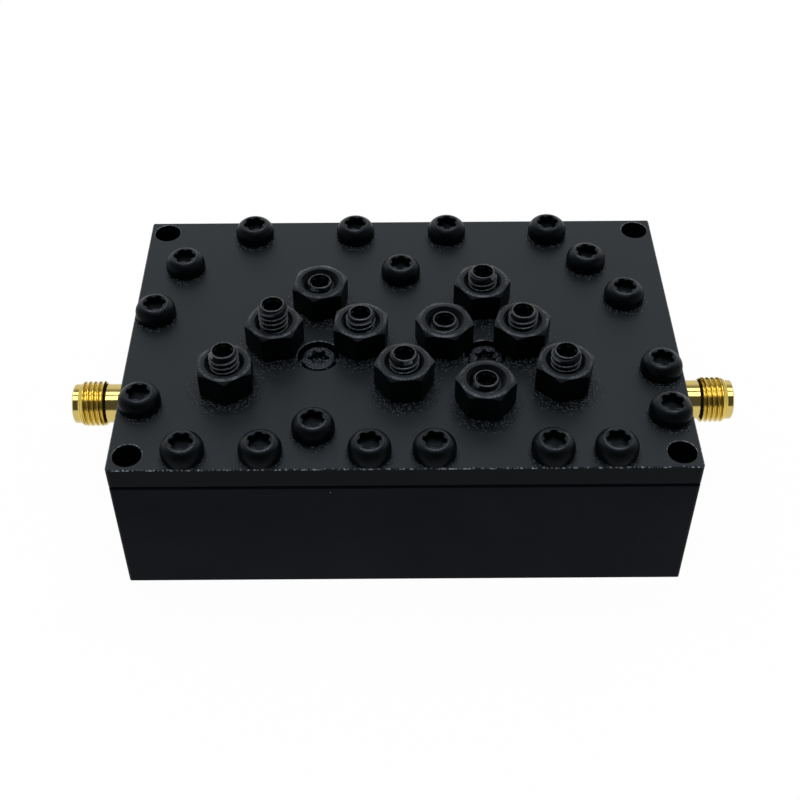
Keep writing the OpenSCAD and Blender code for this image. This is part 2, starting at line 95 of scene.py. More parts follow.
# Lock nuts: across the flats, over the round faces, over the sunk bore ends, and the bore
NUT_FLATS = 7.0 * MM
NUT_FACE = 6.6 * MM
NUT_SINK = 5.3 * MM
NUT_BORE = 4.1 * MM
NUT_ROUNDING = 0.15 * MM
NUT_SLOPE = math.tan(math.radians(30))
# Crown of a nut's upper rim in mm, out from the edge of its face and down from its top
NUT_CROWN = [(0.20, 0.20 * NUT_SLOPE), (0.07, 0.06), (-0.06, 0.02), (-0.20, 0.0)]
# How far in and down a nut's upper rim is rubbed
NUT_RUBBED_IN = 0.22 * MM
NUT_RUBBED_DOWN = 0.14 * MM
# Tuning screws: thread, bevelled lower end, and upper end with a lead cone
TUNER_PITCH = 0.8 * MM
TUNER_ROOT_R = 1.55 * MM
TUNER_BEVEL = 0.25 * MM
TUNER_TAPER = 0.45 * MM
TUNER_RIM_R = 1.56 * MM
TUNER_LEAD = 0.65 * MM
# Ring round a tuning screw's socket in mm, out from the rim's radius and down from the end. Its last point
# is the ground of the mouth.
TUNER_RING = [
    (0.05, 0.12), (0.01, 0.06), (-0.03, 0.025), (-0.08, 0.005), (-0.13, 0.0), (-0.17, 0.03),
    (-0.20, 0.10), (-0.22, 0.45)]
# How far in and down the ring is rubbed, and how far in the crests of the thread
TUNER_RUBBED_IN = 0.21 * MM
TUNER_RUBBED_DOWN = 0.13 * MM
TUNER_CREST = 0.14 * MM
# One tooth of the tuning screws' thread with a rounded crest, up and out in shares of pitch and depth
ROUNDED_TOOTH = [
    (0.00, 0.0), (0.07, 0.0), (0.16, 0.12), (0.30, 0.717), (0.34, 0.888), (0.385, 0.968), (0.43, 1.0),
    (0.57, 1.0), (0.615, 0.968), (0.66, 0.888), (0.70, 0.717), (0.84, 0.12), (0.93, 0.0), (1.00, 0.0)]
TUNER_SOCKET = 2.7 * MM
TUNER_WAIST = 2.25 * MM
TUNER_SOCKET_DEPTH = 2.0 * MM
# How far each screw is turned from the one before, in degrees
TUNER_TURN_STEP = 41.0
SCREW_TURN_STEP = 37.0
# Headed screws: bevel under the head, flat land and softening round the socket's mouth, the slack and the
# angle by which the mouth's edges are known, and the pointed share of the shank's radius
HEAD_BEVEL = 0.12 * MM
SOCKET_LAND = 0.2 * MM
MOUTH_BEVEL = 0.13 * MM
MOUTH_SLACK = 0.05 * MM
MOUTH_SHARP = math.radians(60)
SHANK_POINT = 0.2
# Width of a socket's flute as a share of the socket
FLUTE_SHARE = 0.36
LID_HEAD_R = 2.8 * MM
LID_HEAD_H = 2.4 * MM
LID_HEAD_ROUND = 1.6 * MM
LID_SOCKET = 3.0 * MM
LID_WAIST = 2.45 * MM
LID_SOCKET_DEPTH = 1.3 * MM
LID_SHANK_R = 1.5 * MM
LID_SHANK_LEN = 6.0 * MM
WEB_HEAD_R = 2.35 * MM
WEB_HEAD_H = 1.7 * MM
WEB_HEAD_ROUND = 0.3 * MM
WEB_SOCKET = 3.0 * MM
WEB_WAIST = 2.15 * MM
WEB_SOCKET_DEPTH = 1.1 * MM
WEB_SHANK_R = 1.25 * MM
WEB_SHANK_LEN = 6.0 * MM
# Jack shells: thread, core, cones, neck with its bevelled nose, mouth and bore
JACK_THREAD_R = 3.175 * MM
JACK_ROOT_R = 2.78 * MM
JACK_PITCH = 25.4 / 36 * MM
# One tooth of the jacks' thread, up and out in shares of pitch and depth
CUT_TOOTH = [
    (0.00, 0.0), (0.07, 0.0), (0.16, 0.12), (0.34, 0.88), (0.43, 1.0),
    (0.57, 1.0), (0.66, 0.88), (0.84, 0.12), (0.93, 0.0), (1.00, 0.0)]
JACK_CORE_R = 2.6 * MM
# Faces farther out than the core by this belong to the thread
JACK_CORE_SLACK = 0.05 * MM
# Cones at both ends of the thread: their widest radius, and their lengths at the wall and at the nose
JACK_CONE_R = 3.09 * MM
JACK_BACK = 0.42 * MM
JACK_LEAD = 0.6 * MM
JACK_NECK_R = 2.75 * MM
JACK_NOSE_BEVEL = 0.15 * MM
JACK_MOUTH_R = 2.325 * MM
JACK_MOUTH_DEPTH = 1.95 * MM
JACK_BORE_R = 2.05 * MM
# Stations along a jack, measured out of the side wall
JACK_THREAD_FROM = 3.95 * MM
JACK_THREAD_TO = 7.8 * MM
# How far each jack is turned in its seat, in degrees
JACK_TURN = {"left": -18, "right": -100}
# How far each lock nut is turned on its screw, in degrees
NUT_TURN = {
    "resonator_tuner_1": 33, "resonator_tuner_2": 18, "resonator_tuner_3": 4,
    "resonator_tuner_4": 5, "resonator_tuner_5": 15, "coupling_tuner_1": 10,
    "coupling_tuner_2": 24, "coupling_tuner_3": 50, "coupling_tuner_4": 14, "cross_tuner": 54,
}


# Modelling steps

def begin(primitive, **size):
    """Adds one primitive with nothing else selected."""
    bpy.ops.object.select_all(action="DESELECT")
    primitive(**size)
    return bpy.context.active_object


def pick(element, test, sharp=0.0):
    """In edit mode, selects the vertices, edges or faces whose points all pass the test. Edges must also
    be at least as sharp as the angle given."""
    bpy.ops.mesh.select_mode(type=element)
    bpy.ops.mesh.select_all(action="DESELECT")
    mesh = bmesh.from_edit_mesh(bpy.context.edit_object.data)
    if element == "VERT":
        for vertex in mesh.verts:
            vertex.select_set(test(vertex.co))
    else:
        for item in (mesh.edges if element == "EDGE" else mesh.faces):
            keen = element == "FACE" or item.calc_face_angle(0) >= sharp
            item.select_set(keen and all(test(vertex.co) for vertex in item.verts))
    mesh.select_flush_mode()
    bmesh.update_edit_mesh(bpy.context.edit_object.data)


def shape(piece, kind, **settings):
    """Adds a modifier and applies it."""
    bpy.context.view_layer.objects.active = piece
    modifier = piece.modifiers.new(kind.lower(), kind)
    for name, value in settings.items():
        setattr(modifier, name, value)
    bpy.ops.object.modifier_apply(modifier=modifier.name)


def combine(piece, tool, operation):
    """Joins, cuts or trims a piece with a tool, which is then thrown away."""
    shape(piece, "BOOLEAN", object=tool, operation=operation, solver="MANIFOLD")
    bpy.data.objects.remove(tool)


def trace(points):
    """Draws an outline in the XZ plane by extruding one vertex from point to point."""
    piece = begin(bpy.ops.mesh.primitive_plane_add, size=MM)
    bpy.ops.object.mode_set(mode="EDIT")
    bpy.ops.mesh.select_mode(type="VERT")
    bpy.ops.mesh.select_all(action="SELECT")
    bpy.ops.mesh.merge(type="CENTER")
    bpy.ops.transform.translate(value=(points[0][0], 0, points[0][1]))
    for here, there in zip(points, points[1:]):
        step = (there[0] - here[0], 0, there[1] - here[1])
        bpy.ops.mesh.extrude_region_move(TRANSFORM_OT_translate={"value": step})
    bpy.ops.object.mode_set(mode="OBJECT")
    return piece


def close_up(piece):
    """Merges doubles, closes open ends and turns all faces outwards."""
    bpy.context.view_layer.objects.active = piece
    bpy.ops.object.mode_set(mode="EDIT")
    bpy.ops.mesh.select_all(action="SELECT")
    bpy.ops.mesh.remove_doubles(threshold=WELD)
    bpy.ops.mesh.fill_holes(sides=0)
    bpy.ops.mesh.select_all(action="SELECT")
    bpy.ops.mesh.normals_make_consistent(inside=False)
    if bmesh.from_edit_mesh(piece.data).calc_volume(signed=True) < 0:
        bpy.ops.mesh.flip_normals()
    bpy.ops.object.mode_set(mode="OBJECT")


def turned(outline):
    """A solid turned about Z from an outline of (radius, height) that starts and ends on the axis."""
    piece = trace(outline)
    bpy.ops.object.mode_set(mode="EDIT")
    bpy.ops.mesh.select_all(action="SELECT")
    bpy.ops.mesh.spin(steps=ROUND_STEPS, angle=2 * math.pi, center=(0, 0, 0), axis=(0, 0, 1))
    bpy.ops.object.mode_set(mode="OBJECT")
    close_up(piece)
    bpy.ops.object.mode_set(mode="EDIT")
    bpy.ops.mesh.select_all(action="SELECT")
    bpy.ops.mesh.dissolve_limited(angle_limit=FLAT_ANGLE)
    bpy.ops.object.mode_set(mode="OBJECT")
    return piece


def threaded(crest_r, root_r, pitch, low, high, tooth):
    """A rod along Z with a right-hand thread that runs past both heights. The tooth is drawn in shares of
    the pitch and of the depth."""
    depth = crest_r - root_r
    start = low - SPARE_TURNS * pitch
    turns = math.ceil((high - low) / pitch) + 2 * SPARE_TURNS
    piece = trace([(root_r + depth * out, start + pitch * up) for up, out in tooth])
    shape(
        piece, "SCREW", axis="Z", angle=2 * math.pi, screw_offset=pitch, iterations=turns,
        steps=ROUND_STEPS // 2, render_steps=ROUND_STEPS // 2)
    close_up(piece)
    return piece


def six_lobe_punch(width, waist, low, high):
    """A punch of a six-lobe socket between two heights on the Z axis. The waist is its width between
    the flutes."""
    depth = (width - waist) / 2
    chord = FLUTE_SHARE * width
    flute_r = chord * chord / 8 / depth + depth / 2
    middle_z = (low + high) / 2
    punch = begin(
        bpy.ops.mesh.primitive_cylinder_add, vertices=PUNCH_STEPS, radius=width / 2, depth=high - low,
        location=(0, 0, middle_z))
    bpy.ops.object.transform_apply()
    for lobe in range(6):
        angle = math.radians(60 * lobe + 30)
        out = waist / 2 + flute_r
        flute = begin(
            bpy.ops.mesh.primitive_cylinder_add, vertices=FLUTE_STEPS, radius=flute_r,
            depth=2 * (high - low), location=(out * math.cos(angle), out * math.sin(angle), middle_z))
        bpy.ops.object.transform_apply()
        combine(punch, flute, "DIFFERENCE")
    return punch


def smooth(piece):
    """Smooths the shading over all but the sharp edges."""
    bpy.ops.object.select_all(action="DESELECT")
    piece.select_set(True)
    bpy.context.view_layer.objects.active = piece
    bpy.ops.object.shade_smooth_by_angle(angle=SMOOTH_ANGLE)


def paint_on(piece, material, rim, on_rim):
    """Gives a piece its material, and a second one to the faces that pass the rim test."""
    piece.data.materials.clear()
    piece.data.materials.append(material)
    piece.data.materials.append(rim)
    for face in piece.data.polygons:
        face.material_index = 0
    bpy.context.view_layer.objects.active = piece
    piece.active_material_index = 1
    bpy.ops.object.mode_set(mode="EDIT")
    pick("FACE", on_rim)
    bpy.ops.object.material_slot_assign()
    bpy.ops.object.mode_set(mode="OBJECT")
    smooth(piece)


def copy_to(piece, place, turn=0.0):
    """A copy with its own mesh, turned about Z in degrees and moved to its place."""
    bpy.ops.object.select_all(action="DESELECT")
    piece.select_set(True)
    bpy.context.view_layer.objects.active = piece
    bpy.ops.object.duplicate(linked=False)
    twin = bpy.context.active_object
    twin.location = place
    twin.rotation_euler = (0, 0, math.radians(turn))
    bpy.ops.object.transform_apply()
    return twin


def join(pieces, name):
    """Joins pieces into one named piece."""
    bpy.ops.object.select_all(action="DESELECT")
    for piece in pieces:
        piece.select_set(True)
    bpy.context.view_layer.objects.active = pieces[0]
    bpy.ops.object.join()
    pieces[0].name = name
    return pieces[0]


def solids_of(node):
    """The middle in plan of each separate solid in a CAD node."""
    bpy.ops.object.select_all(action="DESELECT")
    spare = frame["nodes"][node].copy()
    spare.data = spare.data.copy()
    bpy.context.scene.collection.objects.link(spare)
    spare.select_set(True)
    bpy.context.view_layer.objects.active = spare
    bpy.ops.object.mode_set(mode="EDIT")
    bpy.ops.mesh.select_all(action="SELECT")
    bpy.ops.mesh.remove_doubles(threshold=WELD)
    bpy.ops.mesh.separate(type="LOOSE")
    bpy.ops.object.mode_set(mode="OBJECT")
    places = []
    for part in list(bpy.context.selected_objects):
        xs = [vertex.co.x for vertex in part.data.vertices]
        ys = [vertex.co.y for vertex in part.data.vertices]
        places.append(Vector(((min(xs) + max(xs)) / 2, (min(ys) + max(ys)) / 2, 0)))
        bpy.data.objects.remove(part)
    return sorted(places, key=lambda place: (round(place.y, 5), round(place.x, 5)))


# Materials

def linear(colour):
    """An sRGB hex colour as linear RGBA."""
    parts = [int(colour[i:i + 2], 16) / 255 for i in (1, 3, 5)]
    return [p / 12.92 if p <= 0.04045 else ((p + 0.055) / 1.055) ** 2.4 for p in parts] + [1.0]


def per(size_mm):
    """The texture scale at which one cell measures a size in millimetres."""
    return 1 / (size_mm * MM)


def add(tree, kind, inputs=None, **settings):
    """Adds a node with its settings and its input values or links, and returns its outputs."""
    made = tree.nodes.new(kind)
    for name, value in settings.items():
        setattr(made, name, value)
    for name, value in (inputs or {}).items():
        if isinstance(value, bpy.types.NodeSocket):
            tree.links.new(value, made.inputs[name])
        else:
            made.inputs[name].default_value = value
    return made.outputs


def surface(name, **constants):
    """A new material with its tree, its shader and the object coordinates. Constants go on the shader."""
    material = bpy.data.materials.new(name)
    material.use_nodes = True
    tree = material.node_tree
    shader = tree.nodes["Principled BSDF"]
    for socket, value in constants.items():
        shader.inputs[socket.replace("_", " ")].default_value = value
    place = add(tree, "ShaderNodeTexCoord")["Object"]
    return material, tree, shader, place


def dress(tree, shader, colour, rough, height, depth_mm):
    """Links colour, roughness and relief to the shader."""
    normal = add(
        tree, "ShaderNodeBump", {"Height": height, "Strength": 1.0, "Distance": depth_mm * MM})
    tree.links.new(colour, shader.inputs["Base Color"])
    tree.links.new(rough, shader.inputs["Roughness"])
    tree.links.new(normal["Normal"], shader.inputs["Normal"])


def dust_specks(tree, place, spacing_mm, speck_mm, share):
    """A mask of a few round specks, one in some of the cells."""
    cells = add(tree, "ShaderNodeTexVoronoi", {"Vector": place, "Scale": per(spacing_mm)})
    spot = add(
        tree, "ShaderNodeMath", {0: cells["Distance"], 1: speck_mm / 2 / spacing_mm},
        operation="LESS_THAN")
    some = add(tree, "ShaderNodeSeparateColor", {"Color": cells["Color"]})
    kept = add(tree, "ShaderNodeMath", {0: some["Red"], 1: share}, operation="LESS_THAN")
    return add(tree, "ShaderNodeMath", {0: spot[0], 1: kept[0]}, operation="MULTIPLY")[0]


def near_any(tree, place, centres, clear_mm, reach_mm):
    """A mask that is 1 around each of some places in plan and falls to 0 over a reach."""
    flat = add(tree, "ShaderNodeVectorMath", {0: place, 1: (1, 1, 0)}, operation="MULTIPLY")
    nearest = 1.0
    for centre in centres:
        away = add(
            tree, "ShaderNodeVectorMath", {0: flat["Vector"], 1: (centre.x, centre.y, 0)},
            operation="DISTANCE")
        nearest = add(
            tree, "ShaderNodeMath", {0: away["Value"], 1: nearest}, operation="MINIMUM")[0]
    return add(
        tree, "ShaderNodeMapRange", {
            "Value": nearest, "From Min": clear_mm * MM, "From Max": (clear_mm + reach_mm) * MM,
            "To Min": 1.0, "To Max": 0.0}, interpolation_type="SMOOTHSTEP")["Result"]


# Where the spray came from, and the share over which a dry slope turns wet
SPRAY_FROM = (0, 0.5, 0.866)
WET_RANGE = 0.3
# Spacing of dry grains of spray, as coarse as they need to show
GRAIN_MM = 0.36


def wet_spray(tree, dry_below):
    """A mask of the faces that the spray struck from above and behind. Slopes whose normals lie along the
    spray by less than the share given stayed dry."""
    normal = add(
        tree, "ShaderNodeVectorTransform", {
            "Vector": add(tree, "ShaderNodeNewGeometry")["Normal"]},
        vector_type="NORMAL", convert_from="WORLD", convert_to="OBJECT")
    facing = add(
        tree, "ShaderNodeVectorMath", {0: normal["Vector"], 1: SPRAY_FROM}, operation="DOT_PRODUCT")
    return add(
        tree, "ShaderNodeMapRange", {
            "Value": facing["Value"], "From Min": dry_below, "From Max": dry_below + WET_RANGE,
            "To Min": 0.0, "To Max": 1.0}, interpolation_type="SMOOTHSTEP")["Result"]


def spray_grains(tree, place, share):
    """A mask of dry grains of spray, each in a cell of its own. The share of cells can be a link."""
    cells = add(tree, "ShaderNodeTexVoronoi", {"Vector": place, "Scale": per(GRAIN_MM)})
    grain = add(
        tree, "ShaderNodeMapRange", {
            "Value": cells["Distance"], "From Min": 0.1, "From Max": 0.5,
            "To Min": 1.0, "To Max": 0.0}, interpolation_type="SMOOTHSTEP")
    chance = add(tree, "ShaderNodeSeparateColor", {"Color": cells["Color"]})
    held = add(tree, "ShaderNodeMath", {0: chance["Red"], 1: share}, operation="LESS_THAN")
    return add(tree, "ShaderNodeMath", {0: grain["Result"], 1: held[0]}, operation="MULTIPLY")[0]


def corner_holes():
    """The middles of the lid's corner holes in plan."""
    low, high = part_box("lid")
    return [
        Vector((x, y, 0))
        for x in (low.x + HOLE_INSET, high.x - HOLE_INSET)
        for y in (low.y + HOLE_INSET, high.y - HOLE_INSET)]


# The spray came from the back, so its grains lie a little in front of what stands on the lid
GRAIN_SHIFT = 0.6 * MM
# How far back of their middles the painted highlights on the arcs of holes and recesses lie
MOUTH_ARC_BACK = 0.13 * MM
# Upward share of the normal on the lid's bevel, its range, and the least on the level top
BEVEL_LEAN = 0.6
LEAN_RANGE = 0.3
LEVEL_LEAN = 0.95
# Forward share of the normal on the front bevel
FRONT_LEAN = -0.3
# Height of the paint's orange peel as a share of a grain's
PEEL_SHARE = 0.08
# Shine of dry slopes, and what a grain adds to it
DRY_SHINE = 0.045
GRAIN_SHINE = 0.4


def satin_black_lid_paint():
    """Blue-black paint sprayed on the lid: an even satin sheen on the flat top, dull sides, dry grains of
    spray in front of nuts and screws, a painted highlight along the front bevel, bright flecks along the
    sharp upper edge that are worn paint and painted highlight at once, and painted highlights on the
    back arcs of holes and recesses."""
    material, tree, shader, place = surface(
        "satin_black_lid_paint", Specular_IOR_Level=0.35, Specular_Tint=linear("#e2f2ff"))
    clouds = add(tree, "ShaderNodeTexNoise", {"Vector": place, "Scale": per(14), "Detail": 4.0})
    peel = add(tree, "ShaderNodeTexNoise", {"Vector": place, "Scale": per(0.5), "Detail": 2.0})
    wet = wet_spray(tree, 0.5)
    shade = Vector((0, -GRAIN_SHIFT, 0))
    nut_mask = near_any(
        tree, place, [middle(name) + shade for name in tuner_names], clear_mm=3.8, reach_mm=1.9)
    head_mask = near_any(
        tree, place, [at + shade for at in solids_of("lid_screws")], clear_mm=2.4, reach_mm=1.1)
    near = add(tree, "ShaderNodeMath", {0: nut_mask, 1: head_mask}, operation="MAXIMUM")
    share = add(tree, "ShaderNodeMath", {0: near[0], 1: wet}, operation="MULTIPLY")
    grains = spray_grains(tree, place, share[0])
    relief = add(
        tree, "ShaderNodeMath", {0: peel["Fac"], 1: PEEL_SHARE, 2: grains}, operation="MULTIPLY_ADD")
    # Bright flecks sit on the bevel, where the face leans outwards: worn paint, and a painted highlight
    # along the edge
    leaning = add(tree, "ShaderNodeSeparateXYZ", {
        "Vector": add(tree, "ShaderNodeNewGeometry")["True Normal"]})
    lean = add(
        tree, "ShaderNodeMath", {0: leaning["Z"], 1: BEVEL_LEAN, 2: LEAN_RANGE}, operation="COMPARE")
    fleck_noise = add(tree, "ShaderNodeTexNoise", {"Vector": place, "Scale": per(0.35), "Detail": 3.0})
    bare = add(
        tree, "ShaderNodeMapRange", {
            "Value": fleck_noise["Fac"], "From Min": 0.5, "From Max": 0.66, "To Min": 0.0, "To Max": 1.0})
    # Painted highlight: the bevel along the front edge is painted paler, where it catches the light
    front = add(tree, "ShaderNodeMath", {0: leaning["Y"], 1: FRONT_LEAN}, operation="LESS_THAN")
    painted_front_highlight = add(tree, "ShaderNodeMath", {0: lean[0], 1: front[0]}, operation="MULTIPLY")
    # Painted highlights: the back arcs of the mouths of the corner holes and of the recesses are painted
    # pale, where the far rim catches the light
    back = Vector((0, MOUTH_ARC_BACK, 0))
    holes = near_any(
        tree, place, [at + back for at in corner_holes()], clear_mm=HOLE_R / MM, reach_mm=0.1)
    recesses = near_any(
        tree, place, [at + back for at in solids_of("web_screws")], clear_mm=RECESS_R / MM,
        reach_mm=0.1)
    mouths = add(tree, "ShaderNodeMath", {0: holes, 1: recesses}, operation="MAXIMUM")
    level = add(tree, "ShaderNodeMath", {0: leaning["Z"], 1: LEVEL_LEAN}, operation="GREATER_THAN")
    arcs = add(tree, "ShaderNodeMath", {0: mouths[0], 1: level[0]}, operation="MULTIPLY")
    thin = add(
        tree, "ShaderNodeMapRange", {
            "Value": fleck_noise["Fac"], "From Min": 0.4, "From Max": 0.64, "To Min": 0.0, "To Max": 0.8})
    painted_mouth_highlights = add(
        tree, "ShaderNodeMath", {0: arcs[0], 1: thin["Result"]}, operation="MULTIPLY")
    edge_chips_and_highlight = add(tree, "ShaderNodeMath", {0: lean[0], 1: bare["Result"]}, operation="MULTIPLY")
    chips_and_highlights = add(
        tree, "ShaderNodeMath", {0: edge_chips_and_highlight[0], 1: painted_mouth_highlights[0]}, operation="MAXIMUM")
    specks = dust_specks(tree, place, spacing_mm=6.0, speck_mm=0.2, share=0.3)
    paint = add(
        tree, "ShaderNodeMix", {
            "Factor": clouds["Fac"], "A": linear("#030507"), "B": linear("#07090c")},
        data_type="RGBA")
    grainy = add(
        tree, "ShaderNodeMix", {"Factor": grains, "A": paint["Result"], "B": linear("#1f2327")},
        data_type="RGBA")
    # Painted highlight: the front bevel gets a paler colour
    rubbed = add(
        tree, "ShaderNodeMix", {"Factor": painted_front_highlight[0], "A": grainy["Result"], "B": linear("#1d2023")},
        data_type="RGBA")
    # Worn flecks and painted highlights share one pale colour
    chipped_and_highlighted = add(
        tree, "ShaderNodeMix", {
            "Factor": chips_and_highlights[0], "A": rubbed["Result"], "B": linear("#858a90")},
        data_type="RGBA")
    dusty = add(
        tree, "ShaderNodeMix", {
            "Factor": specks, "A": chipped_and_highlighted["Result"], "B": linear("#8f9296")},
        data_type="RGBA")
    rough = add(
        tree, "ShaderNodeMapRange", {
            "Value": clouds["Fac"], "From Min": 0.3, "From Max": 0.7,
            "To Min": 0.36, "To Max": 0.42})
    # The ground between the grains is dry and dull
    dry = add(
        tree, "ShaderNodeMapRange", {
            "Value": share[0], "From Min": 0.0, "From Max": 1.0, "To Min": 0.37, "To Max": 0.27})
    sheen = add(
        tree, "ShaderNodeMath", {0: wet, 1: dry["Result"], 2: DRY_SHINE}, operation="MULTIPLY_ADD")
    shine = add(
        tree, "ShaderNodeMath", {0: grains, 1: GRAIN_SHINE, 2: sheen[0]}, operation="MULTIPLY_ADD")
    tree.links.new(shine[0], shader.inputs["Specular IOR Level"])
    dress(tree, shader, dusty["Result"], rough["Result"], relief[0], depth_mm=0.09)
    return material


def matte_black_housing_paint():
    """Blue-black paint on the milled block: duller than the lid, with a fine grit and a few dust specks."""
    material, tree, shader, place = surface(
        "matte_black_housing_paint", Specular_IOR_Level=0.055, Specular_Tint=linear("#bcdaff"))
    clouds = add(tree, "ShaderNodeTexNoise", {"Vector": place, "Scale": per(11), "Detail": 5.0})
    grit = add(tree, "ShaderNodeTexNoise", {"Vector": place, "Scale": per(0.4), "Detail": 3.0})
    specks = dust_specks(tree, place, spacing_mm=5.0, speck_mm=0.2, share=0.35)
    paint = add(
        tree, "ShaderNodeMix", {
            "Factor": clouds["Fac"], "A": linear("#020305"), "B": linear("#07090d")},
        data_type="RGBA")
    dusty = add(
        tree, "ShaderNodeMix", {"Factor": specks, "A": paint["Result"], "B": linear("#9a9ca0")},
        data_type="RGBA")
    rough = add(
        tree, "ShaderNodeMapRange", {
            "Value": clouds["Fac"], "From Min": 0.3, "From Max": 0.7,
            "To Min": 0.48, "To Max": 0.60})
    dress(tree, shader, dusty["Result"], rough["Result"], grit["Fac"], depth_mm=0.02)
    return material


# Height of the lumps in the paint on fasteners as a share of a grain's
LUMP_SHARE = 0.5


def black_fastener_paint(name, grain_share, dry_below, sheen_top):
    """The same spray on nuts and screws: thicker, a little lumpy, grainy by the share of dry grains, dull
    on slopes to the front, and as shiny as the sheen's top where the spray struck fully."""
    material, tree, shader, place = surface(
        name, Specular_IOR_Level=sheen_top / 2, Specular_Tint=linear("#dcedff"))
    clouds = add(tree, "ShaderNodeTexNoise", {"Vector": place, "Scale": per(2.5), "Detail": 3.0})
    lumps = add(tree, "ShaderNodeTexNoise", {"Vector": place, "Scale": per(0.5), "Detail": 2.0})
    grains = spray_grains(tree, place, grain_share)
    relief = add(
        tree, "ShaderNodeMath", {0: lumps["Fac"], 1: LUMP_SHARE, 2: grains}, operation="MULTIPLY_ADD")
    paint = add(
        tree, "ShaderNodeMix", {
            "Factor": clouds["Fac"], "A": linear("#020304"), "B": linear("#07090b")},
        data_type="RGBA")
    grainy = add(
        tree, "ShaderNodeMix", {"Factor": grains, "A": paint["Result"], "B": linear("#4c5157")},
        data_type="RGBA")
    rough = add(
        tree, "ShaderNodeMapRange", {
            "Value": clouds["Fac"], "From Min": 0.3, "From Max": 0.7,
            "To Min": 0.34, "To Max": 0.44})
    sheen = add(
        tree, "ShaderNodeMapRange", {
            "Value": wet_spray(tree, dry_below), "From Min": 0.0, "From Max": 1.0,
            "To Min": 0.05, "To Max": sheen_top})
    tree.links.new(sheen["Result"], shader.inputs["Specular IOR Level"])
    dress(tree, shader, grainy["Result"], rough["Result"], relief[0], depth_mm=0.06)
    return material


def rubbed_black_rim(name, pale, shine_low, shine_high):
    """Paint on the rounded edges of nuts, screws and threads, rubbed thin by the tools: pale in patches,
    with shinier and duller stretches."""
    material, tree, shader, place = surface(
        name, Specular_IOR_Level=(shine_low + shine_high) / 2, Specular_Tint=linear("#eaf4ff"))
    patches = add(tree, "ShaderNodeTexNoise", {"Vector": place, "Scale": per(0.4), "Detail": 3.0})
    stretches = add(tree, "ShaderNodeTexNoise", {"Vector": place, "Scale": per(1.6), "Detail": 2.0})
    shine = add(
        tree, "ShaderNodeMapRange", {
            "Value": stretches["Fac"], "From Min": 0.35, "From Max": 0.65,
            "To Min": shine_low, "To Max": shine_high})
    tree.links.new(shine["Result"], shader.inputs["Specular IOR Level"])
    paint = add(
        tree, "ShaderNodeMix", {
            "Factor": patches["Fac"], "A": linear("#050608"), "B": linear(pale)},
        data_type="RGBA")
    rough = add(
        tree, "ShaderNodeMapRange", {
            "Value": patches["Fac"], "From Min": 0.3, "From Max": 0.7,
            "To Min": 0.22, "To Max": 0.38})
    dress(tree, shader, paint["Result"], rough["Result"], patches["Fac"], depth_mm=0.1)
    return material


def metal(name, light, dark, rough_low, rough_high, mark_mm, depth_mm):
    """A bare or plated metal with faint turning marks and patches of tarnish."""
    material, tree, shader, place = surface(name, Metallic=1.0)
    clouds = add(tree, "ShaderNodeTexNoise", {"Vector": place, "Scale": per(2.2), "Detail": 4.0})
    marks = add(tree, "ShaderNodeTexNoise", {"Vector": place, "Scale": per(mark_mm), "Detail": 2.0})
    colour = add(
        tree, "ShaderNodeMix", {
            "Factor": clouds["Fac"], "A": linear(dark), "B": linear(light)}, data_type="RGBA")
    rough = add(
        tree, "ShaderNodeMapRange", {
            "Value": clouds["Fac"], "From Min": 0.3, "From Max": 0.7,
            "To Min": rough_low, "To Max": rough_high})
    dress(tree, shader, colour["Result"], rough["Result"], marks["Fac"], depth_mm)
    return material


def white_fluoropolymer():
    """The jack's insulator: waxy white plastic with a turned, slightly uneven face."""
    material, tree, shader, place = surface("white_fluoropolymer", Subsurface_Weight=0.15)
    shader.inputs["Subsurface Radius"].default_value = (0.4 * MM, 0.4 * MM, 0.35 * MM)
    shader.inputs["Subsurface Scale"].default_value = 1.0
    clouds = add(tree, "ShaderNodeTexNoise", {"Vector": place, "Scale": per(1.5), "Detail": 3.0})
    colour = add(
        tree, "ShaderNodeMix", {
            "Factor": clouds["Fac"], "A": linear("#e6e4dc"), "B": linear("#f4f3ee")},
        data_type="RGBA")
    rough = add(
        tree, "ShaderNodeMapRange", {
            "Value": clouds["Fac"], "From Min": 0.3, "From Max": 0.7,
            "To Min": 0.38, "To Max": 0.5})
    dress(tree, shader, colour["Result"], rough["Result"], clouds["Fac"], depth_mm=0.01)
    return material


lid_paint = satin_black_lid_paint()
housing_paint = matte_black_housing_paint()
fastener_paint = black_fastener_paint(
    "black_fastener_paint", grain_share=0.0, dry_below=0.5, sheen_top=0.32)
head_paint = black_fastener_paint("black_head_paint", grain_share=0.0, dry_below=0.4, sheen_top=0.26)
grainy_paint = black_fastener_paint(
    "grainy_fastener_paint", grain_share=0.8, dry_below=0.5, sheen_top=0.5)
rim_paint = rubbed_black_rim("rubbed_black_rim", pale="#1d2024", shine_low=0.2, shine_high=0.6)
crest_paint = rubbed_black_rim(
    "rubbed_black_thread_crest", pale="#0b0c0e", shine_low=0.6, shine_high=1.0)
gold = metal(
    "hard_gold_plate", light="#d2bd74", dark="#c4ae62", rough_low=0.07, rough_high=0.12,
    mark_mm=0.25, depth_mm=0.003)
